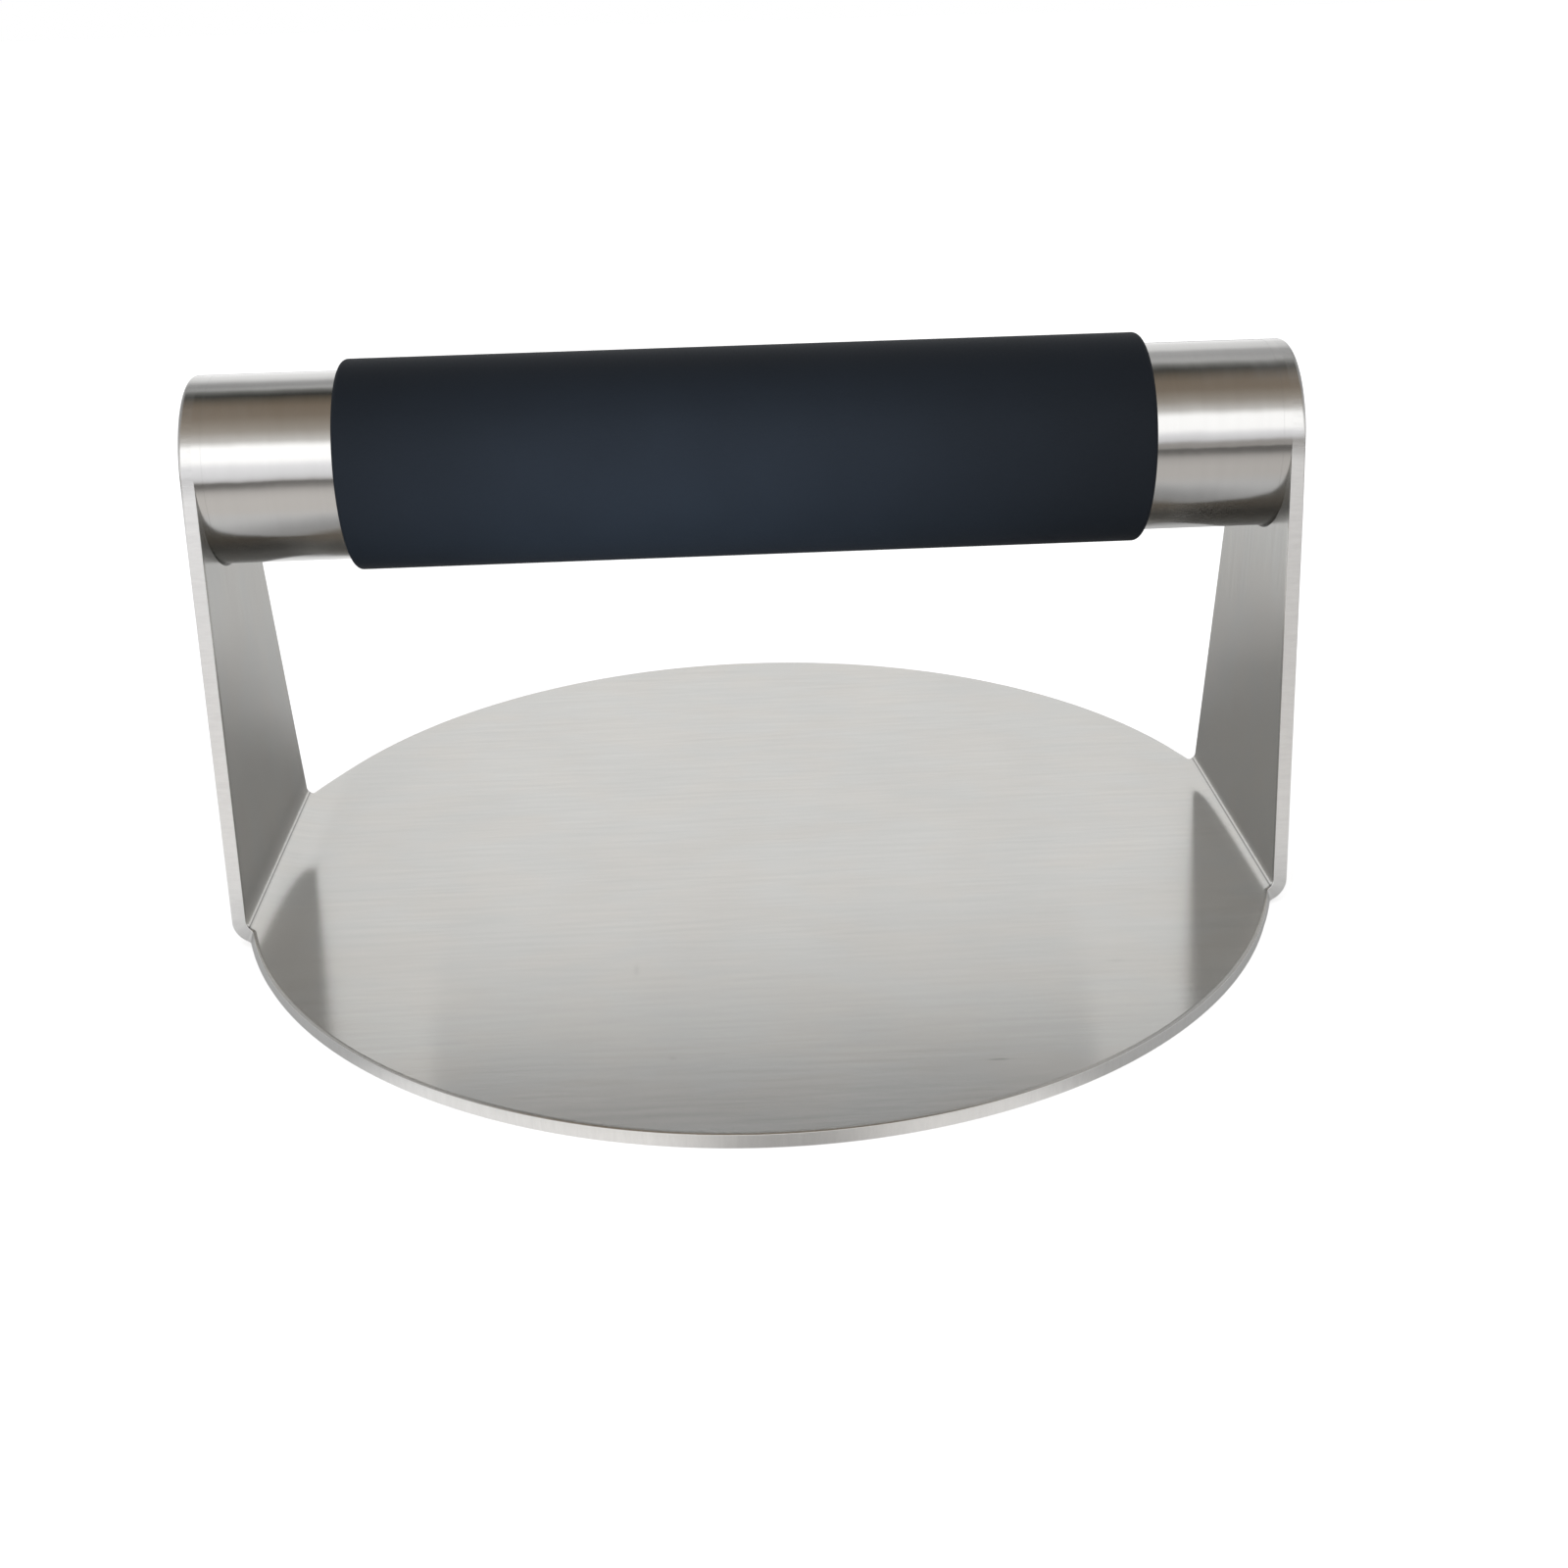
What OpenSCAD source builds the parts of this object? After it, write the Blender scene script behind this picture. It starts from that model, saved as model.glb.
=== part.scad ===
// Hand press for shaping burger patties. A round plate presses the meat, its two side tabs
// are bent up into ears, and a welded tube between the ears carries a soft grip sleeve.
// The pressing face lies on z = 0, centred on the origin, and the handle runs along X.

/* [Press plate] */
// Diameter of the round plate
plate_d = 150; // [130:1:190]
// Thickness of the sheet that the plate and both ears are bent from
sheet_t = 2; // [1.5:0.1:3]
// Inner radius of the two bends
bend_r = 1.2; // [0.5:0.1:2]
// Distance that each ear's outer face stands inside the plate's full diameter
ear_inset = 1; // [0.5:0.1:2]
// Step from the plate's rim to each side of an ear where the two meet
ear_step = 0.1; // [0.05:0.05:0.5]

/* [Handle] */
// Height of the handle's axis above the pressing face
handle_h = 62; // [50:0.1:80]
// Outer diameter of the handle tube
tube_d = 25.4; // [20:0.1:30]
// Wall of the handle tube
tube_wall = 1.5; // [1.2:0.1:2]
// Width of the bevel at each end of the tube, which the weld fills
weld_bevel = 1; // [0.5:0.1:1.1]

/* [Grip] */
// Length of the grip sleeve
grip_len = 108; // [60:1:116]
// Wall of the grip sleeve
grip_wall = 1.5; // [1:0.1:4]
// Radius that rounds the outer edge at each end of the sleeve
grip_edge_r = 0.8; // [0.2:0.1:0.9]

/* [Hidden] */
$fn = 128;
plate_r = plate_d / 2;
tube_r = tube_d / 2;
grip_r = tube_r + grip_wall;
// Outer face of an ear, the inner face that the tube meets, and the line where the bend starts
ear_x = plate_r - ear_inset;
ear_inner_x = ear_x - sheet_t;
bend_x = ear_inner_x - bend_r;
bend_outer_r = bend_r + sheet_t;
// Half of an ear's width at the plate: the plate's half chord on the bend line, less the step
ear_base_y = sqrt(plate_r * plate_r - bend_x * bend_x) - ear_step;
// An ear's straight side leaves its base corner and ends tangent to the round top
ear_rise = handle_h - sheet_t;
ear_side_angle = acos(tube_r / norm([ear_base_y, ear_rise])) - atan2(ear_rise, ear_base_y);
ear_side_y = tube_r * cos(ear_side_angle);
ear_side_z = handle_h + tube_r * sin(ear_side_angle);

// An ear seen along X, in Y and Z
module ear_outline() {
    translate([0, handle_h]) circle(r = tube_r);
    polygon([
        [-ear_base_y, 0],
        [ear_base_y, 0],
        [ear_base_y, sheet_t],
        [ear_side_y, ear_side_z],
        [-ear_side_y, ear_side_z],
        [-ear_base_y, sheet_t]
    ]);
}

// The bent sheet seen along Y, in X and Z: a quarter ring, then the upright
module bend_section() {
    translate([bend_x, bend_outer_r]) intersection() {
        difference() {
            circle(r = bend_outer_r);
            circle(r = bend_r);
        }
        translate([0, -2 * bend_outer_r]) square(2 * bend_outer_r);
    }
    translate([ear_inner_x, bend_outer_r]) square([sheet_t, handle_h + tube_d]);
}

// The ear on the side of +X: the bent sheet, trimmed to the ear's outline
module ear() {
    intersection() {
        translate([0, plate_r, 0]) rotate([90, 0, 0]) linear_extrude(plate_d) bend_section();
        rotate([90, 0, 90]) linear_extrude(plate_r) ear_outline();
    }
}

module press_plate() {
    color("lightgray") {
        intersection() {
            cylinder(r = plate_r, h = sheet_t);
            translate([-bend_x, -plate_r, 0]) cube([2 * bend_x, plate_d, sheet_t]);
        }
        ear();
        mirror([1, 0, 0]) ear();
    }
}

// A body of revolution about the handle's axis, from a section of radius and distance along X
module around_handle() {
    translate([0, 0, handle_h]) rotate([0, 90, 0]) rotate_extrude() children();
}

module handle_tube() {
    bore_r = tube_r - tube_wall;
    color("silver") around_handle()
        polygon([
            [bore_r, -ear_inner_x],
            [tube_r - weld_bevel, -ear_inner_x],
            [tube_r, weld_bevel - ear_inner_x],
            [tube_r, ear_inner_x - weld_bevel],
            [tube_r - weld_bevel, ear_inner_x],
            [bore_r, ear_inner_x]
        ]);
}

// Weld metal that fills the bevel of the tube's +X end, ground flush with the tube
module weld_ring() {
    around_handle()
        polygon([
            [tube_r - weld_bevel, ear_inner_x],
            [tube_r, ear_inner_x - weld_bevel],
            [tube_r, ear_inner_x]
        ]);
}

module left_weld() {
    color("gainsboro") mirror([1, 0, 0]) weld_ring();
}

module right_weld() {
    color("gainsboro") weld_ring();
}

module grip_sleeve() {
    straight = grip_len / 2 - grip_edge_r;
    color([0.11, 0.12, 0.15]) around_handle() {
        translate([tube_r, -grip_len / 2]) square([grip_wall - grip_edge_r, grip_len]);
        translate([tube_r, -straight]) square([grip_wall, 2 * straight]);
        for (end = [-straight, straight])
            translate([grip_r - grip_edge_r, end]) circle(r = grip_edge_r);
    }
}

press_plate();
handle_tube();
left_weld();
right_weld();
grip_sleeve();
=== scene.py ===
"""A hand patty press of stainless steel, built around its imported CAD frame.

A round plate with two ears bent up from the same sheet carries a steel tube that is welded
between them, with a soft sleeve over its middle. Lengths are in metres. The plate's underside
lies on z = 0, the handle runs along X and the camera looks along +Y.
"""

import math

import bpy
import numpy as np
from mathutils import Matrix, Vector


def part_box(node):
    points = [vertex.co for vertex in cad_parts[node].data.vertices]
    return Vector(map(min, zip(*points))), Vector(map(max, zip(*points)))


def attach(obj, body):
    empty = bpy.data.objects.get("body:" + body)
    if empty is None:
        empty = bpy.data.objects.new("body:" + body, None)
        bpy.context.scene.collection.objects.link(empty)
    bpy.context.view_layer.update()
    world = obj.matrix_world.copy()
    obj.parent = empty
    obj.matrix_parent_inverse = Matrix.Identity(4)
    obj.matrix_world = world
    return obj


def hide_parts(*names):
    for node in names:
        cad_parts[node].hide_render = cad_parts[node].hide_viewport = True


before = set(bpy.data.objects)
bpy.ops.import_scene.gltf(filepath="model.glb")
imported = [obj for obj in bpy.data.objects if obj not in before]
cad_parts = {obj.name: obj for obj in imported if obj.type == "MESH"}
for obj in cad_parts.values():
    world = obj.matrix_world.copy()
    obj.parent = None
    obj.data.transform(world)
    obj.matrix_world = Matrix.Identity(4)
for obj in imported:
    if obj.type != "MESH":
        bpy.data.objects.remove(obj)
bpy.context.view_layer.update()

# ---------------------------------------------------------------- sizes
MM = 0.001
DEG = math.pi / 180

plate_low, plate_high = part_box("press_plate")
tube_low, tube_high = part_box("handle_tube")
sleeve_low, sleeve_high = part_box("grip_sleeve")
weld_low, weld_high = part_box("right_weld")

PLATE_R = (plate_high.y - plate_low.y) / 2
EAR_X = plate_high.x
EAR_INNER_X = tube_high.x
SHEET_T = EAR_X - EAR_INNER_X
TUBE_R = (tube_high.z - tube_low.z) / 2
HANDLE_Z = (tube_low.z + tube_high.z) / 2
SLEEVE_R = (sleeve_high.z - sleeve_low.z) / 2
SLEEVE_HALF = sleeve_high.x
WELD_W = weld_high.x - weld_low.x

# Details that are too fine for the frame's boxes to give
BEND_R = 1.2 * MM
EDGE_R = 0.12 * MM
TIP_EDGE_R = 0.6 * MM
CORNER_R = 0.7 * MM
TUBE_WALL = 1.5 * MM
SLEEVE_END_R = 0.8 * MM
SLEEVE_LIP_R = 0.15 * MM
SLEEVE_GAP = 0.02 * MM

# The ear is wider than the tube lower down, and there the weld grows a fillet: none up to one
# angle from the top, and all of it from the other on
WELD_FILLET = 0.4 * MM
FILLET_FROM = 100 * DEG
FILLET_FULL = 125 * DEG

# The punch rolled the sheet's top edges over, down to a crisp corner on the cut edge
ROLL_W = 0.5 * MM
ROLL_TURN = 60 * DEG
ROLL_R = ROLL_W / math.cos(ROLL_TURN)
CREST_R = 0.05 * MM
CREST_Z = SHEET_T - ROLL_R * (1 - math.sin(ROLL_TURN)) - CREST_R * math.sin(ROLL_TURN)
TOP_INSET = ROLL_W + CREST_R * (1 - math.cos(ROLL_TURN))

# The sheet starts to curve a little before each bend proper, and further out on the left (-1).
# Where the bend proper starts it has turned by LEAD_ANGLE, more of it late than early.
LEAD_IN = {-1: 5.5 * MM, 1: 2.5 * MM}
LEAD_ANGLE = 17.5 * DEG
LEAD_POWER = 1.2

# u runs along X over the flat blank and on up the ear. The bend proper starts at BEND_X.
MID_BEND_R = BEND_R + SHEET_T / 2
BEND_X = EAR_X - SHEET_T / 2 - MID_BEND_R * (1 - math.sin(LEAD_ANGLE))
FLAT_BEND = MID_BEND_R * (90 * DEG - LEAD_ANGLE)
EAR_START_U = BEND_X + FLAT_BEND
EAR_CENTRE_U = EAR_START_U + HANDLE_Z - SHEET_T / 2 - MID_BEND_R * math.cos(LEAD_ANGLE)

# How finely the meshes are divided
RIM_STEPS, CORNER_STEPS, BEND_STEPS, EAR_STEPS, TIP_STEPS = 60, 8, 18, 12, 32
LOW_STEPS, CREST_STEPS, ROLL_STEPS = 6, 3, 6
ACROSS_STEPS = 24
LATHE_STEPS = 192
TUBE_STEPS, BEVEL_STEPS = 24, 2
SLEEVE_STEPS, SLEEVE_END_STEPS, SLEEVE_FACE_STEPS, SLEEVE_LIP_STEPS = 40, 8, 2, 4
WELD_STEPS, FILLET_STEPS, WELD_END_STEPS = 3, 8, 2
SPINE_STEPS = 15000
SPINE_U = np.linspace(0.0, EAR_X + HANDLE_Z + TUBE_R, SPINE_STEPS + 1)

# Points this close together count as one
SAME_POINT = 1e-4 * MM

# Two runs of points meet at a sharp corner where the cosine between their normals is below this
CORNER_COSINE = 0.9
SHARP_BEVEL = 0.01 * MM

# Each part of a normal that leans at 45 degrees
SLANTED = math.sqrt(0.5)


# ---------------------------------------------------------------- mesh helpers
def make_piece(name, points, normals, faces, kinds, coords, materials):
    """A closed mesh with a normal and a "surface" coordinate at each point.

    Points at one place become one, and a face that loses corners that way stays without them.
    """
    keys = np.round(np.array(points) / SAME_POINT).astype(np.int64)
    _, first, where = np.unique(keys, axis=0, return_index=True, return_inverse=True)
    where = where.ravel()
    points = [points[i] for i in first]
    normals = [normals[i] for i in first]
    coords = [coords[i] for i in first]
    clean, clean_kinds = [], []
    for face, kind in zip(faces, kinds):
        ring = [int(where[i]) for i in face]
        ring = [p for i, p in enumerate(ring) if p != ring[i - 1]]
        if len(set(ring)) > 2:
            clean.append(ring)
            clean_kinds.append(kind)
    mesh = bpy.data.meshes.new(name)
    mesh.from_pydata([tuple(p) for p in points], [], clean)
    mesh.polygons.foreach_set("material_index", clean_kinds)
    mesh.polygons.foreach_set("use_smooth", [True] * len(clean))
    surface = mesh.attributes.new("surface", "FLOAT_VECTOR", "POINT")
    surface.data.foreach_set("vector", np.array(coords, np.float32).ravel())
    for material in materials:
        mesh.materials.append(material)
    mesh.normals_split_custom_set_from_vertices([tuple(n) for n in normals])
    piece = bpy.data.objects.new(name, mesh)
    bpy.context.scene.collection.objects.link(piece)
    return piece


def finish_piece(piece, node):
    """Puts the piece on the root body and hides the CAD node that it stands in for."""
    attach(piece, "root")
    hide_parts(node)


def share(value, start, end):
    """How far a value has come from start to end, kept between 0 and 1."""
    return np.clip((value - start) / (end - start), 0.0, 1.0)


def arc(centre, radius, start, end, steps):
    """Points and outward normals along an arc between two angles, both ends included."""
    angles = np.linspace(start, end, steps + 1)
    normals = np.stack([np.cos(angles), np.sin(angles)], axis=1)
    return np.array(centre) + radius * normals, normals


def straight(a, b, normal, steps=1):
    """Points from a to b, both ends included, with one normal."""
    t = np.linspace(0.0, 1.0, steps + 1)[:, None]
    return (1 - t) * np.array(a) + t * np.array(b), np.repeat([normal], steps + 1, axis=0)


def step_towards(corner, neighbour):
    """The small step that a run takes back from a sharp corner."""
    way = neighbour - corner
    return SHARP_BEVEL * way / np.linalg.norm(way)


def chain(*runs, closed=False):
    """Joins runs of points and normals, where each starts at the point that the last one ends on.

    Where the normal jumps, both runs stop just short of the corner, which leaves a tiny bevel
    and lets each side keep its own normal.
    """
    points = [run[0].copy() for run in runs]
    normals = [run[1] for run in runs]
    for i in range(len(runs) if closed else len(runs) - 1):
        j = (i + 1) % len(runs)
        if runs[i][1][-1] @ runs[j][1][0] < CORNER_COSINE:
            points[i][-1] += step_towards(runs[i][0][-1], runs[i][0][-2])
            points[j][0] += step_towards(runs[j][0][0], runs[j][0][1])
        else:
            points[j] = points[j][1:]
            normals[j] = normals[j][1:]
    return np.concatenate(points), np.concatenate(normals)


# ---------------------------------------------------------------- the plate and its ears
def sheet_angle(u, side):
    """How far the sheet has turned up at a distance u along it from the middle."""
    lead = share(u, BEND_X - LEAD_IN[side], BEND_X)
    bend = share(u, BEND_X, EAR_START_U)
    return LEAD_ANGLE * lead**LEAD_POWER + (90 * DEG - LEAD_ANGLE) * bend


def bend_profile(side):
    """The middle of the sheet's thickness on one side, as x and z at each of SPINE_U."""
    step = SPINE_U[1]
    angle = sheet_angle(SPINE_U[1:] - step / 2, side)
    x = np.concatenate([[0.0], np.cumsum(np.cos(angle)) * step])
    z = SHEET_T / 2 + np.concatenate([[0.0], np.cumsum(np.sin(angle)) * step])

    # The ear's straight part takes up the height that the lead-in has gained
    gained = np.interp(EAR_CENTRE_U, SPINE_U, z) - HANDLE_Z
    taken_up = gained * share(SPINE_U, EAR_START_U, EAR_CENTRE_U)
    return x + EAR_X - SHEET_T / 2 - x[-1], z - taken_up


PROFILES = {side: bend_profile(side) for side in (-1, 1)}


def blank_outline():
    """A quarter of the flat blank's outline, from the middle of the rim to the tip of an ear.

    Its points are (u, v), and v runs along Y.
    """
    corner = np.array([BEND_X, math.sqrt(PLATE_R**2 - BEND_X**2)])
    reach = corner - (EAR_CENTRE_U, 0.0)
    lean = math.atan2(reach[1], reach[0]) - math.acos(TUBE_R / np.linalg.norm(reach))
    side_normal = np.array([math.cos(lean), math.sin(lean)])
    touch = np.array([EAR_CENTRE_U, 0.0]) + TUBE_R * side_normal

    # A round inside corner touches both the rim and the ear's side
    centre_reach = PLATE_R + CORNER_R
    centre_angle = lean - math.acos((side_normal @ corner + CORNER_R) / centre_reach)
    centre = centre_reach * np.array([math.cos(centre_angle), math.sin(centre_angle)])
    side_start = centre - CORNER_R * side_normal

    # The side has finer steps until a little past the bend
    fine_u = 1.1 * FLAT_BEND
    fine_end = side_start + (touch - side_start) * fine_u / (touch[0] - side_start[0])

    inside, inwards = arc(centre, CORNER_R, centre_angle + math.pi, lean + math.pi, CORNER_STEPS)
    return chain(
        arc((0, 0), PLATE_R, math.pi / 2, centre_angle, RIM_STEPS),
        (inside, -inwards),
        straight(side_start, fine_end, side_normal, BEND_STEPS),
        straight(fine_end, touch, side_normal, EAR_STEPS),
        arc((EAR_CENTRE_U, 0), TUBE_R, lean, 0.0, TIP_STEPS),
    )


def bend_sheet(u, v, height, nu, nv, nh):
    """Places a point of the flat blank, and its normal, on the bent sheet."""
    side = -1 if u < 0 else 1
    profile_x, profile_z = PROFILES[side]
    angle = float(sheet_angle(abs(u), side))
    lift = height - SHEET_T / 2
    x = np.interp(abs(u), SPINE_U, profile_x) - lift * math.sin(angle)
    z = np.interp(abs(u), SPINE_U, profile_z) + lift * math.cos(angle)
    nx = side * nu * math.cos(angle) - nh * math.sin(angle)
    nz = side * nu * math.sin(angle) + nh * math.cos(angle)
    return (side * x, v, z), (side * nx, nv, nz)


def edge_section(low_r):
    """Points (outward, height) and normals from the underside round the edge to the top."""
    low = arc((-low_r, low_r), low_r, -90 * DEG, 0.0, LOW_STEPS)
    crest = arc((-CREST_R, CREST_Z), CREST_R, 0.0, ROLL_TURN, CREST_STEPS)
    roll = arc((-TOP_INSET, SHEET_T - ROLL_R), ROLL_R, ROLL_TURN, 90 * DEG, ROLL_STEPS)
    points = np.concatenate([low[0], crest[0], roll[0][1:]])
    normals = np.concatenate([low[1], crest[1], roll[1][1:]])
    return points, normals


def build_press_plate(face_material, edge_material):
    """Rows across the blank make the two faces, and rings along its outline make the edge."""
    quarter, quarter_n = blank_outline()
    u = np.concatenate([-quarter[:0:-1, 0], quarter[:, 0]])
    v = np.concatenate([quarter[:0:-1, 1], quarter[:, 1]])
    nu = np.concatenate([-quarter_n[:0:-1, 0], quarter_n[:, 0]])
    nv = np.concatenate([quarter_n[:0:-1, 1], quarter_n[:, 1]])
    rows = range(len(u))

    # The outer edge is rounder over the tip of each ear than elsewhere
    over_tip = share(np.abs(u), EAR_CENTRE_U - TUBE_R / 2, EAR_CENTRE_U + TUBE_R / 2)
    low_r = EDGE_R + (TIP_EDGE_R - EDGE_R) * over_tip
    across = np.sin(np.linspace(-math.pi / 2, math.pi / 2, ACROSS_STEPS + 1))
    face_kinds = [0] * ACROSS_STEPS
    edge_kinds = [1] * (LOW_STEPS + 1 + CREST_STEPS) + [0] * ROLL_STEPS
    points, normals, coords, faces, kinds = [], [], [], [], []

    def add(u, v, height, nu, nv, nh):
        point, normal = bend_sheet(u, v, height, nu, nv, nh)
        points.append(point)
        normals.append(normal)
        coords.append((u, v, height))
        return len(points) - 1

    def face_row(r, inset, height, up):
        u_row = u[r] - inset * nu[r]
        v_row = v[r] - inset * nv[r]
        return [add(u_row, v_row * c, height, 0.0, 0.0, up) for c in across]

    def edge_ring(r, sign):
        ring = []
        for (out, height), (n_out, n_up) in zip(*edge_section(low_r[r])):
            u_edge = u[r] + out * nu[r]
            v_edge = sign * (v[r] + out * nv[r])
            ring.append(add(u_edge, v_edge, height, nu[r] * n_out, sign * nv[r] * n_out, n_up))
        return ring

    def add_strip(low, high, strip_kinds, flip):
        for i, kind in enumerate(strip_kinds):
            quad = (low[i], low[i + 1], high[i + 1], high[i])
            faces.append(quad[::-1] if flip else quad)
            kinds.append(kind)

    below = [face_row(r, low_r[r], 0.0, -1.0) for r in rows]
    above = [face_row(r, TOP_INSET, SHEET_T, 1.0) for r in rows]
    for r in rows[:-1]:
        add_strip(below[r], below[r + 1], face_kinds, flip=False)
        add_strip(above[r], above[r + 1], face_kinds, flip=True)
    for sign in (-1, 1):
        rings = [edge_ring(r, sign) for r in rows]
        for r in rows[:-1]:
            add_strip(rings[r], rings[r + 1], edge_kinds, flip=sign < 0)
    materials = [face_material, edge_material]
    piece = make_piece("press_plate_sheet", points, normals, faces, kinds, coords, materials)
    finish_piece(piece, "press_plate")


# ---------------------------------------------------------------- round pieces on the handle's axis
def lathe(name, section, material, bulge=None):
    """Turns a closed section of (x, radius) points and normals about the handle's axis.

    bulge(x, angle) gives extra radius. The angle is 0 at the top and grows towards +Y.
    """
    xr, n = section
    points, normals, coords, faces = [], [], [], []
    count = len(xr)
    for k in range(LATHE_STEPS):
        angle = 2 * math.pi * k / LATHE_STEPS
        s, c = math.sin(angle), math.cos(angle)
        for (x, radius), (nx, nr) in zip(xr, n):
            if bulge:
                radius += bulge(x, angle)
            points.append((x, radius * s, HANDLE_Z + radius * c))
            normals.append((nx, nr * s, nr * c))
            coords.append((x, radius * s, radius * c))
    for k in range(LATHE_STEPS):
        here, there = k * count, (k + 1) % LATHE_STEPS * count
        for i in range(count):
            j = (i + 1) % count
            faces.append((here + i, here + j, there + j, there + i))
    return make_piece(name, points, normals, faces, [0] * len(faces), coords, [material])


def build_handle_tube(material):
    """The tube, with its ends bevelled for the welds."""
    end, bevel_x = EAR_INNER_X, EAR_INNER_X - WELD_W
    bore, bevel_r = TUBE_R - TUBE_WALL, TUBE_R - WELD_W
    section = chain(
        straight((-bevel_x, TUBE_R), (bevel_x, TUBE_R), (0, 1), TUBE_STEPS),
        straight((bevel_x, TUBE_R), (end, bevel_r), (SLANTED, SLANTED), BEVEL_STEPS),
        straight((end, bevel_r), (end, bore), (1, 0)),
        straight((end, bore), (-end, bore), (0, -1), TUBE_STEPS),
        straight((-end, bore), (-end, bevel_r), (-1, 0)),
        straight((-end, bevel_r), (-bevel_x, TUBE_R), (-SLANTED, SLANTED), BEVEL_STEPS),
        closed=True,
    )
    piece = lathe("handle_tube_steel", section, material)
    finish_piece(piece, "handle_tube")


def build_grip_sleeve(material):
    """The soft sleeve, with its ends rounded over."""
    bore = TUBE_R + SLEEVE_GAP
    out_x, out_r = SLEEVE_HALF - SLEEVE_END_R, SLEEVE_R - SLEEVE_END_R
    in_x, in_r = SLEEVE_HALF - SLEEVE_LIP_R, bore + SLEEVE_LIP_R
    section = chain(
        straight((-out_x, SLEEVE_R), (out_x, SLEEVE_R), (0, 1), SLEEVE_STEPS),
        arc((out_x, out_r), SLEEVE_END_R, math.pi / 2, 0.0, SLEEVE_END_STEPS),
        straight((SLEEVE_HALF, out_r), (SLEEVE_HALF, in_r), (1, 0), SLEEVE_FACE_STEPS),
        arc((in_x, in_r), SLEEVE_LIP_R, 0.0, -math.pi / 2, SLEEVE_LIP_STEPS),
        straight((in_x, bore), (-in_x, bore), (0, -1), SLEEVE_STEPS),
        arc((-in_x, in_r), SLEEVE_LIP_R, -math.pi / 2, -math.pi, SLEEVE_LIP_STEPS),
        straight((-SLEEVE_HALF, in_r), (-SLEEVE_HALF, out_r), (-1, 0), SLEEVE_FACE_STEPS),
        arc((-out_x, out_r), SLEEVE_END_R, math.pi, math.pi / 2, SLEEVE_END_STEPS),
        closed=True,
    )
    piece = lathe("grip_sleeve_rubber", section, material)
    finish_piece(piece, "grip_sleeve")


def weld_fillet(x, angle):
    """Extra radius of a weld near its ear: none on top, where the ear is no wider than the tube."""
    from_top = min(angle, 2 * math.pi - angle)
    below = share(from_top, FILLET_FROM, FILLET_FULL)
    rise = share(abs(x), EAR_INNER_X - WELD_FILLET, EAR_INNER_X)
    eased = below * below * (3 - 2 * below)
    return WELD_FILLET * (1 - math.sqrt(1 - rise * rise)) * eased


def build_weld(node, side, material):
    """Weld metal in the tube's bevel: flush on top, and a small fillet where the ear is wider."""
    start, end = EAR_INNER_X - WELD_W, EAR_X - CREST_Z
    fillet_start = EAR_INNER_X - WELD_FILLET
    deep = TUBE_R - WELD_W
    xr, n = chain(
        straight((start, TUBE_R), (fillet_start, TUBE_R), (0, 1), WELD_STEPS),
        straight((fillet_start, TUBE_R), (end, TUBE_R), (0, 1), FILLET_STEPS),
        straight((end, TUBE_R), (EAR_INNER_X, deep), (1, 0), WELD_END_STEPS),
        straight((EAR_INNER_X, deep), (start, TUBE_R), (-SLANTED, -SLANTED), WELD_STEPS),
        closed=True,
    )
    if side < 0:
        xr, n = xr[::-1] * (-1, 1), n[::-1] * (-1, 1)
    piece = lathe(node + "_bead", (xr, n), material, weld_fillet)
    finish_piece(piece, node)


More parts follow.
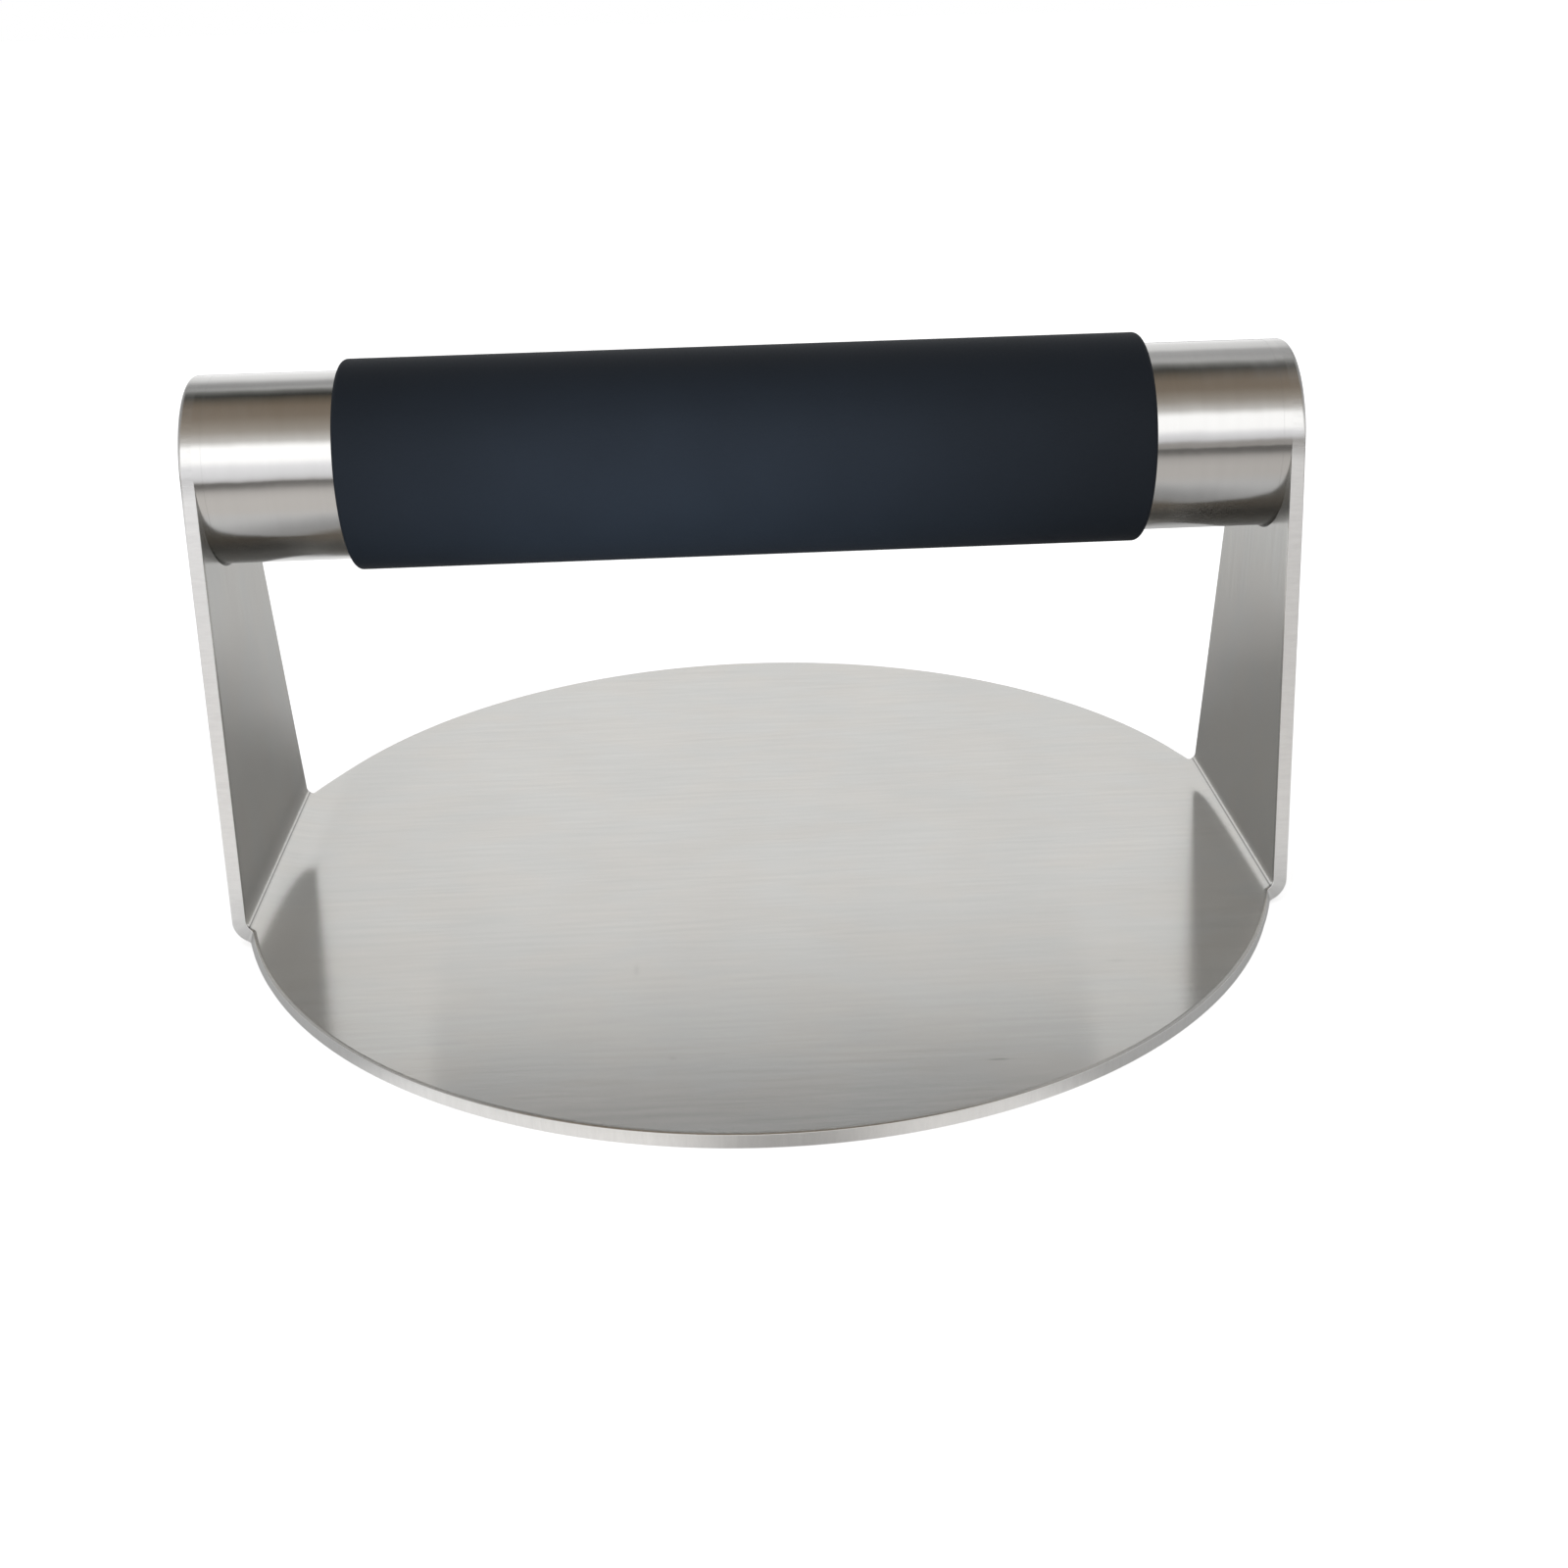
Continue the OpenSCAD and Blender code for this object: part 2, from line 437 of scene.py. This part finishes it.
# ---------------------------------------------------------------- shader helpers
class Shader:
    """Adds nodes to one tree and links them. An input is a value or another node's output."""

    def __init__(self, owner):
        owner.use_nodes = True
        self.tree = owner.node_tree
        self.tree.nodes.clear()

    def add(self, kind, inputs=None, **settings):
        node = self.tree.nodes.new("ShaderNode" + kind)
        for name, value in settings.items():
            setattr(node, name, value)
        for name, value in (inputs or {}).items():
            self.put(node.inputs[name], value)
        return node

    def put(self, socket, value):
        """Links an output to a socket, or gives the socket a plain value."""
        if isinstance(value, bpy.types.NodeSocket):
            self.tree.links.new(value, socket)
        else:
            socket.default_value = value

    def output(self, kind, surface):
        """Ends the tree with its output node."""
        self.add("Output" + kind, {"Surface": surface.outputs[0]})

    def math(self, operation, a, b=0.0):
        node = self.add("Math", operation=operation)
        for socket, value in zip(node.inputs, (a, b)):
            self.put(socket, value)
        return node.outputs[0]

    def times(self, product, *factors):
        for factor in factors:
            product = self.math("MULTIPLY", product, factor)
        return product

    def apart(self, a, b):
        """How far one value is from another."""
        return self.math("ABSOLUTE", self.math("SUBTRACT", a, b))

    def spread(self, value, span, levels=(0.0, 1.0), kind="SMOOTHSTEP"):
        """The first level before a span of values, the second after it, and a slope between."""
        node = self.add("MapRange", interpolation_type=kind)
        for socket, number in zip(node.inputs, (value, *span, *levels)):
            self.put(socket, number)
        return node.outputs[0]

    def blend(self, amount, levels):
        """The first level where an amount is 0, the second where it is 1."""
        return self.spread(amount, (0.0, 1.0), levels, "LINEAR")

    def vary(self, pattern, levels, reach=0.2):
        """Levels that follow a pattern, which mostly keeps within a reach of 0.5."""
        return self.spread(pattern, (0.5 - reach, 0.5 + reach), levels, "LINEAR")

    def mix(self, amount, a, b, **settings):
        node = self.add("Mix", data_type="RGBA", **settings)
        for socket, value in zip((node.inputs[0], node.inputs[6], node.inputs[7]), (amount, a, b)):
            self.put(socket, value)
        return node.outputs[2]

    def brighten(self, colour, amount):
        """colour times amount, which is near 1."""
        level = self.add("CombineColor", {"Red": amount, "Green": amount, "Blue": amount})
        return self.mix(1.0, colour, level.outputs[0], blend_type="MULTIPLY")

    def vector(self, x, y, z):
        return self.add("CombineXYZ", {"X": x, "Y": y, "Z": z}).outputs[0]

    def parts(self, vector):
        """A vector's x, y and z."""
        return self.add("SeparateXYZ", {"Vector": vector}).outputs

    def surface(self, scale=(1.0, 1.0, 1.0)):
        """The piece's own surface coordinate, in metres, times a scale."""
        place = self.add("Attribute", attribute_name="surface").outputs["Vector"]
        return self.add("Mapping", {"Vector": place, "Scale": scale}).outputs[0]

    def pattern(self, waves, detail, roughness):
        """Noise on the surface, with so many waves per metre in each direction."""
        inputs = {"Vector": self.surface(waves), "Scale": 1.0, "Detail": detail, "Roughness": roughness}
        return self.add("TexNoise", inputs, normalize=True).outputs[0]

    def bump(self, height, depth):
        """A normal for small relief, as deep as depth where the height is 1."""
        return self.add("Bump", {"Height": height, "Distance": depth, "Strength": 1.0}).outputs[0]


def grey(level):
    return (level, level, level, 1.0)


def new_material(name):
    material = bpy.data.materials.new(name)
    return material, Shader(material)


def close_material(s, **inputs):
    """Ends a material with one Principled node."""
    names = {key.replace("_", " "): value for key, value in inputs.items()}
    s.output("Material", s.add("BsdfPrincipled", names, distribution="GGX"))


# ---------------------------------------------------------------- materials
SHEET_WARM = (0.778, 0.764, 0.733, 1.0)
SHEET_COOL = (0.768, 0.766, 0.745, 1.0)
EDGE_COLOUR = (0.95, 0.945, 0.93, 1.0)
TUBE_COLOUR = (0.63, 0.625, 0.615, 1.0)
RUBBER_COLOUR = (0.0065, 0.0095, 0.0144, 1.0)

# Steel seen in other steel keeps this share of its light, for deep contrast
STEEL_IN_STEEL = 0.7
PLATE_IN_STEEL = 0.66

# Patterns: waves per metre in the surface's three directions, then detail and roughness
SHEET_SCRATCHES = ((110.0, 4500.0, 110.0), 3.0, 0.65)
SHEET_STREAKS = ((60.0, 1100.0, 60.0), 4.0, 0.6)
SHEET_CLOUDS = ((60.0, 60.0, 60.0), 2.0, 0.5)
SHEET_PATCHES = ((70.0, 110.0, 70.0), 2.0, 0.5)
EDGE_MARKS = ((1600.0, 1600.0, 300.0), 3.0, 0.7)
TUBE_SCRATCHES = ((7000.0, 60.0, 60.0), 3.0, 0.6)
TUBE_RINGS = ((900.0, 10.0, 10.0), 4.0, 0.6)
TUBE_WAVES = ((160.0, 90.0, 90.0), 2.0, 0.5)
RUBBER_GRIT = ((4500.0, 4500.0, 4500.0), 2.0, 0.5)
RUBBER_CLOUDS = ((70.0, 70.0, 70.0), 2.0, 0.5)

# How deep the finest marks look
SHEET_SCRATCH_DEPTH = 0.0025 * MM
EDGE_MARK_DEPTH = 0.004 * MM
TUBE_SCRATCH_DEPTH = 0.0006 * MM
TUBE_WAVE_DEPTH = 0.08 * MM
RUBBER_GRIT_DEPTH = 0.01 * MM

# How much a pattern lightens or darkens a surface
STREAK_TONE = (0.955, 1.04)
CLOUD_TONE = (0.982, 1.018)
EDGE_TONE = (0.95, 1.03)
TUBE_TONE = (0.985, 1.012)
RUBBER_TONE = (0.94, 1.06)

# Roughness, and what the streaks add to the sheet's
PLATE_ROUGHNESS, EAR_ROUGHNESS = 0.21, 0.26
STREAK_ROUGHNESS = (-0.01, 0.01)
TUBE_ROUGHNESS = (0.145, 0.16)
CUT_ROUGHNESS, POLISHED_ROUGHNESS = 0.36, 0.2
RUBBER_ROUGHNESS = (0.66, 0.72)

# The ears are a little duller than the plate
EAR_TONE = 0.93
EAR_FADE = 6 * MM

# The brake's tool leaves a crease this far round each bend, darkened by a thin line of painted shade
CREASE_U = BEND_X + 0.4 * FLAT_BEND
CREASE_SPAN = (0.08 * MM, 0.25 * MM)
CREASE_SHADE = 0.6

# The cut edge is polished over where the tube meets it
POLISH_SPAN = (HANDLE_Z - 0.1 * TUBE_R, HANDLE_Z + 0.25 * TUBE_R)
POLISHED_GRAIN = 0.9

# Small marks on the plate's top face: x and y, half length and half width, in mm, and how dark
MARKS = (
    (-17.5, -37.0, 0.5, 2.4, 0.05),
    (-12.5, -58.5, 0.5, 0.35, 0.12),
    (27.0, -62.0, 1.6, 0.3, 0.20),
    (46.0, -40.0, 1.3, 0.3, 0.08),
    (57.5, -57.0, 2.0, 0.35, 0.10),
)


def seen_in_steel(s, colour, shade=STEEL_IN_STEEL):
    """Darkens a steel's colour to a share of itself where a mirrored ray meets it."""
    mirrored = s.add("LightPath").outputs["Is Glossy Ray"]
    return s.brighten(colour, s.blend(mirrored, (1.0, shade)))


def sheet_distance(s):
    """How far along the sheet a point is from the middle of the plate."""
    return s.math("ABSOLUTE", s.parts(s.surface())["X"])


def bend_crease_shade(s):
    """Painted shade in a thin line along the inside of each bend, where the brake's tool pressed the
    sheet.
    """
    return s.spread(s.apart(sheet_distance(s), CREASE_U), CREASE_SPAN, (CREASE_SHADE, 1.0))


def plate_marks(s):
    """Small rubbed marks on the top face, each an oval with soft edges."""
    place = s.parts(s.surface())
    tone = 1.0
    for x, y, half_length, half_width, depth in MARKS:
        dx = s.math("DIVIDE", s.math("SUBTRACT", place["X"], x * MM), half_length * MM)
        dy = s.math("DIVIDE", s.math("SUBTRACT", place["Y"], y * MM), half_width * MM)
        away = s.math("ADD", s.times(dx, dx), s.times(dy, dy))
        tone = s.times(tone, s.spread(away, (0.0, 1.0), (1.0 - depth, 1.0)))
    return tone


def sheet_steel():
    """Sheet with straight brushed grain along u: sharp reflections along it, spread across it."""
    material, s = new_material("brushed_sheet_steel")
    streaks = s.pattern(*SHEET_STREAKS)
    ear = s.spread(sheet_distance(s), (BEND_X, BEND_X + EAR_FADE))
    cool_share = s.spread(s.pattern(*SHEET_PATCHES), (0.35, 0.65))
    cloud_tone = s.vary(s.pattern(*SHEET_CLOUDS), CLOUD_TONE)
    colour = s.mix(cool_share, SHEET_WARM, SHEET_COOL)
    colour = s.brighten(colour, s.times(s.vary(streaks, STREAK_TONE), cloud_tone))
    # Painted shade along each bend's crease, and the small rubbed marks
    colour = s.brighten(colour, s.times(bend_crease_shade(s), plate_marks(s)))
    colour = s.brighten(colour, s.blend(ear, (1.0, EAR_TONE)))
    streak_roughness = s.vary(streaks, STREAK_ROUGHNESS, reach=0.25)
    close_material(
        s,
        Base_Color=seen_in_steel(s, colour, s.blend(ear, (PLATE_IN_STEEL, STEEL_IN_STEEL))),
        Metallic=1.0,
        Roughness=s.math("ADD", streak_roughness, s.blend(ear, (PLATE_ROUGHNESS, EAR_ROUGHNESS))),
        Anisotropic=1.0,
        Tangent=s.vector(0.0, 1.0, 0.0),
        Normal=s.bump(s.pattern(*SHEET_SCRATCHES), SHEET_SCRATCH_DEPTH),
    )
    return material


def edge_steel():
    """The sheet's cut edge: fine marks across the thickness, polished over where the tube meets it."""
    material, s = new_material("cut_edge_steel")
    marks = s.pattern(*EDGE_MARKS)
    polished = s.spread(s.parts(s.add("NewGeometry").outputs["Position"])["Z"], POLISH_SPAN)
    colour = s.brighten(s.mix(polished, EDGE_COLOUR, TUBE_COLOUR), s.vary(marks, EDGE_TONE))
    close_material(
        s,
        Base_Color=seen_in_steel(s, colour),
        Metallic=1.0,
        Roughness=s.blend(polished, (CUT_ROUGHNESS, POLISHED_ROUGHNESS)),
        Anisotropic=s.times(polished, POLISHED_GRAIN),
        Tangent=s.vector(1.0, 0.0, 0.0),
        Normal=s.bump(marks, EDGE_MARK_DEPTH),
    )
    return material


def tube_steel():
    """Nearly polished steel with faint grain around the girth, not quite even along it."""
    material, s = new_material("polished_tube_steel")
    rings = s.pattern(*TUBE_RINGS)
    scratches = s.times(s.pattern(*TUBE_SCRATCHES), TUBE_SCRATCH_DEPTH)
    waves = s.times(s.pattern(*TUBE_WAVES), TUBE_WAVE_DEPTH)
    close_material(
        s,
        Base_Color=seen_in_steel(s, s.brighten(TUBE_COLOUR, s.vary(rings, TUBE_TONE))),
        Metallic=1.0,
        Roughness=s.vary(rings, TUBE_ROUGHNESS, reach=0.25),
        Anisotropic=0.85,
        Tangent=s.vector(1.0, 0.0, 0.0),
        Normal=s.bump(s.math("ADD", scratches, waves), 1.0),
    )
    return material


def sleeve_rubber():
    """Matte silicone rubber, nearly black with a little blue, with a fine even surface."""
    material, s = new_material("matte_sleeve_rubber")
    grit = s.pattern(*RUBBER_GRIT)
    close_material(
        s,
        Base_Color=s.brighten(RUBBER_COLOUR, s.vary(s.pattern(*RUBBER_CLOUDS), RUBBER_TONE)),
        Roughness=s.vary(grit, RUBBER_ROUGHNESS),
        Specular_IOR_Level=0.2,
        Normal=s.bump(grit, RUBBER_GRIT_DEPTH),
    )
    return material


# ---------------------------------------------------------------- studio
# What polished steel sees round the X axis: degrees above the horizon from the camera's side
# (0) over the top (90) to the far side (180), and the light from there
SURROUNDINGS = (
    (-180, (1.15, 1.15, 1.15)),
    (-60, (0.70, 0.69, 0.67)),
    (-9, (0.62, 0.60, 0.58)),
    (-3, (0.42, 0.40, 0.38)),
    (1, (0.42, 0.40, 0.38)),
    (6, (0.90, 0.90, 0.92)),
    (16, (1.16, 1.16, 1.19)),
    (23, (1.60, 1.60, 1.60)),
    (39, (1.62, 1.62, 1.62)),
    (46, (0.80, 0.78, 0.75)),
    (58, (0.46, 0.42, 0.37)),
    (75, (0.28, 0.23, 0.18)),
    (88, (0.24, 0.19, 0.14)),
    (98, (0.15, 0.122, 0.09)),
    (108, (0.04, 0.04, 0.035)),
    (116, (0.24, 0.24, 0.23)),
    (123, (0.64, 0.64, 0.635)),
    (131, (0.51, 0.51, 0.51)),
    (138, (0.56, 0.56, 0.56)),
    (146, (0.94, 0.94, 0.94)),
    (165, (1.01, 1.01, 1.01)),
    (180, (1.15, 1.15, 1.15)),
)

# The bands slant: by so many radians for each unit of x, near the horizon, above it and on top
HORIZON_SLANT, BAND_SLANT, TOP_SLANT = -0.25, 0.1, 0.4
ABOVE_HORIZON = (3 * DEG, 20 * DEG)
TOWARDS_TOP = (45 * DEG, 95 * DEG)
DOWN_THE_BACK = (116 * DEG, 140 * DEG)

# The left half is lighter than the right half, more so in front than at the back
LEFT_GAIN, LEFT_GAIN_BACK = 0.16, 0.12
FRONT = (-0.7, 0.0)

# A dimmer patch high up at the back, left of the middle
PATCH_DIM = 0.3
PATCH_START = (100 * DEG, 118 * DEG)
PATCH_END = (142 * DEG, 156 * DEG)
PATCH_X = (-0.28, -0.08)

# The light that matt surfaces get from all around
ROOM_LIGHT = 0.38

# The side walls hide the bands from this far out in x, and sooner at the back
ASIDE = (0.6, 0.85)
ASIDE_AT_BACK = (0.22, 0.55)
AT_BACK = (-0.35, 0.05)

# They get darker from the front to the back, and are lifted near the horizon
WALL_SPAN, WALL_LEVELS = (-0.5, 0.3), (0.6, 0.4)
WALL_HORIZON = 0.05
HORIZON_SPAN, HORIZON_LIFT = (0.1, 0.3), 0.45

# The floor lies just below the press and glows enough to look white. Steel sees a painted glow on it,
# a little warm in front, darkened by painted shadow near the press and dimmed by RIM_GLOW right beside
# the plate.
FLOOR_HALF = 3.0
FLOOR_DROP = 0.05 * MM
FLOOR_COLOUR = 0.92
FLOOR_WHITENING = 0.5
WARM_WHITE = (1.0, 0.96, 0.92, 1.0)
RIM_GLOW = 0.8

SKY_FROM = (-0.15, -0.3, 1.0)
SKY_ENERGY = 1.2
SKY_ANGLE = 120 * DEG

GRIP_LIGHT_PLACE = (-50 * MM, -200 * MM, 4 * MM)
GRIP_LIGHT_AIM = (-8 * MM, 0.0, HANDLE_Z - 12 * MM)
GRIP_LIGHT_ENERGY = 6.4
GRIP_LIGHT_ANGLE = 32 * DEG
GRIP_LIGHT_R = 30 * MM

CAMERA_PLACE = (-4.5 * MM, -248.2 * MM, 126.3 * MM)
CAMERA_TURN = (65.13 * DEG, 1.41 * DEG, -2.61 * DEG)
CAMERA_LENS = 42.02


def slanted_bands(s, x, turn):
    """The light of SURROUNDINGS in a direction that is turned so far round the X axis."""
    slant = s.spread(turn, ABOVE_HORIZON, (HORIZON_SLANT, BAND_SLANT))
    slant = s.math("ADD", slant, s.spread(turn, TOWARDS_TOP, (0.0, TOP_SLANT - BAND_SLANT)))
    slant = s.times(slant, s.spread(turn, DOWN_THE_BACK, (1.0, 0.0)))
    place = s.math("ADD", turn, s.times(x, slant))
    ramp = s.add("ValToRGB", {"Fac": s.spread(place, (-math.pi, math.pi), kind="LINEAR")})
    stops = ramp.color_ramp.elements
    while len(stops) < len(SURROUNDINGS):
        stops.new(0.5)
    for stop, (angle, colour) in zip(stops, SURROUNDINGS):
        stop.position = (angle + 180) / 360
        stop.color = (*colour, 1.0)
    return ramp.outputs[0]


def left_to_right(s, x, y, turn):
    """How much the bands are brightened or dimmed across the room."""
    front = s.spread(y, FRONT, (1.0, 0.0))
    gain = s.math("SUBTRACT", 1.0, s.times(x, s.blend(front, (LEFT_GAIN_BACK, LEFT_GAIN))))
    patch = s.times(s.spread(turn, PATCH_START), s.spread(turn, PATCH_END, (1.0, 0.0)))
    patch = s.times(patch, s.spread(x, PATCH_X, (PATCH_DIM, 0.0)))
    return s.math("SUBTRACT", gain, patch)


def far_aside(s, x, y):
    """1 in directions where the side walls hide the bands, which is sooner at the back."""
    aside = s.math("ABSOLUTE", x)
    at_back = s.times(s.spread(aside, ASIDE_AT_BACK), s.spread(y, AT_BACK))
    return s.math("MAXIMUM", at_back, s.spread(aside, ASIDE))


def side_walls(s, y, z):
    """Plain side walls, lighter to the front and near the horizon."""
    at_horizon = s.spread(s.apart(z, WALL_HORIZON), HORIZON_SPAN, (HORIZON_LIFT, 0.0))
    return s.math("ADD", s.spread(y, WALL_SPAN, WALL_LEVELS), at_horizon)


def build_surroundings():
    """A white room to look at, an even light on matt surfaces, and the bands for reflections."""
    world = bpy.data.worlds.new("studio")
    bpy.context.scene.world = world
    s = Shader(world)
    x, y, z = s.parts(s.add("TexCoord").outputs["Generated"])
    turn = s.math("ARCTAN2", z, s.times(y, -1.0))
    bands = s.brighten(slanted_bands(s, x, turn), left_to_right(s, x, y, turn))
    reflected = s.mix(far_aside(s, x, y), bands, s.brighten(grey(1.0), side_walls(s, y, z)))
    rays = s.add("LightPath")
    seen = s.mix(rays.outputs["Is Glossy Ray"], grey(ROOM_LIGHT), reflected)
    seen = s.mix(rays.outputs["Is Camera Ray"], seen, grey(1.0))
    s.output("World", s.add("Background", {"Color": seen, "Strength": 1.0}))


def glow_behind(s, x, y, from_middle):
    """The floor behind the press: darkest close to the plate in painted shadow, lightest far out on the
    left.
    """
    right_dim = s.spread(x, (10 * MM, 60 * MM), (0.84, 0.68))
    leftward = s.math("SUBTRACT", s.times(y, 0.25), x)
    left_lift = s.spread(leftward, (60 * MM, 80 * MM), (0.83, 1.08), "LINEAR")
    plate_shade = s.spread(from_middle, (67 * MM, 83 * MM), (0.48, 1.0))
    return s.times(right_dim, left_lift, plate_shade)


def glow_in_front(s, x, y, from_middle):
    """The floor on the camera's side: darker near the plate in painted shadow, and again far away."""
    plate_shade = s.spread(from_middle, (PLATE_R, 1.45 * PLATE_R), (0.5, 1.0))
    far_shade = s.spread(y, (-500 * MM, -120 * MM), (0.35, 0.70))
    left_lift = s.spread(x, (-100 * MM, 100 * MM), (1.08, 0.92), "LINEAR")
    return s.times(plate_shade, far_shade, left_lift)


def glow_at_rim(s, x):
    """The floor right beside the plate, with painted shade in the middle and at the ends, which the rim
    mirrors.
    """
    middle = s.spread(s.apart(x, 1 * MM), (2 * MM, 19 * MM), (0.46, 1.0))
    ends = s.spread(s.apart(x, -7 * MM), (36 * MM, 50 * MM), (1.0, 0.52))
    right_dim = s.spread(x, (0.0, 20 * MM), (1.0, 0.88))
    return s.times(middle, RIM_GLOW, ends, right_dim)


def floor_glow(s, spot):
    """What steel sees of the floor, painted light and shadow: bright beyond the press, duller in front
    and close to it.
    """
    place = s.parts(spot)
    x, y = place["X"], place["Y"]
    from_middle = s.add("VectorMath", {0: spot}, operation="LENGTH").outputs["Value"]
    in_front, behind = glow_in_front(s, x, y, from_middle), glow_behind(s, x, y, from_middle)
    level = s.blend(s.spread(y, (0.0, 60 * MM)), (in_front, behind))
    level = s.times(level, s.spread(s.math("ABSOLUTE", x), (140 * MM, 260 * MM), (1.0, 0.5)))
    touching = s.spread(from_middle, (PLATE_R + 2 * MM, PLATE_R + 8 * MM), (1.0, 0.0))
    level = s.blend(touching, (level, glow_at_rim(s, x)))
    warm = s.spread(y, (-100 * MM, -50 * MM), (1.0, 0.0))
    return s.brighten(s.mix(warm, grey(1.0), WARM_WHITE), level)


def build_floor():
    """A pale floor, which mirrors see as a glow with painted light and painted shadow."""
    material, s = new_material("pale_floor")
    spot = s.add("NewGeometry").outputs["Position"]
    glow = s.add("Emission", {"Color": floor_glow(s, spot), "Strength": 1.0})
    white = s.add("Emission", {"Color": grey(1.0), "Strength": FLOOR_WHITENING})
    matt = s.add("BsdfDiffuse", {"Color": grey(FLOOR_COLOUR)})
    pale = s.add("AddShader", {0: white.outputs[0], 1: matt.outputs[0]})
    rays = s.add("LightPath")
    choice = {0: rays.outputs["Is Glossy Ray"], 1: pale.outputs[0], 2: glow.outputs[0]}
    s.output("Material", s.add("MixShader", choice))

    around = ((-1, -1), (1, -1), (1, 1), (-1, 1))
    corners = [(FLOOR_HALF * x, FLOOR_HALF * y, -FLOOR_DROP) for x, y in around]
    mesh = bpy.data.meshes.new("floor")
    mesh.from_pydata(corners, [], [(0, 1, 2, 3)])
    mesh.materials.append(material)
    floor = bpy.data.objects.new("floor", mesh)
    bpy.context.scene.collection.objects.link(floor)


def build_light(kind, name, place, aim, **settings):
    """A soft light for matt surfaces, which steel doesn't mirror."""
    data = bpy.data.lights.new(name, kind)
    for key, value in settings.items():
        setattr(data, key, value)
    light = bpy.data.objects.new(name, data)
    bpy.context.scene.collection.objects.link(light)
    light.location = place
    light.rotation_euler = (Vector(aim) - light.location).to_track_quat("-Z", "Y").to_euler()
    light.visible_glossy = False


def build_lights():
    """A wide sky from above, and a low lamp that lifts the front of the grip."""
    build_light("SUN", "soft_sky", SKY_FROM, (0.0, 0.0, 0.0), energy=SKY_ENERGY, angle=SKY_ANGLE)
    build_light(
        "SPOT",
        "grip_light",
        GRIP_LIGHT_PLACE,
        GRIP_LIGHT_AIM,
        energy=GRIP_LIGHT_ENERGY,
        spot_size=GRIP_LIGHT_ANGLE,
        spot_blend=1.0,
        shadow_soft_size=GRIP_LIGHT_R,
    )


def build_camera():
    """A close camera, a little left of the middle, that looks down on the press."""
    data = bpy.data.cameras.new("camera")
    data.sensor_width = 36.0
    data.lens = CAMERA_LENS
    data.clip_start = 10 * MM
    camera = bpy.data.objects.new("camera", data)
    bpy.context.scene.collection.objects.link(camera)
    camera.location = CAMERA_PLACE
    camera.rotation_euler = CAMERA_TURN
    bpy.context.scene.camera = camera


# ---------------------------------------------------------------- the scene
handle_steel = tube_steel()
build_press_plate(sheet_steel(), edge_steel())
build_handle_tube(handle_steel)
build_weld("left_weld", -1, handle_steel)
build_weld("right_weld", 1, handle_steel)
build_grip_sleeve(sleeve_rubber())

build_floor()
build_surroundings()
build_lights()
build_camera()
bpy.context.scene.view_settings.view_transform = "Standard"
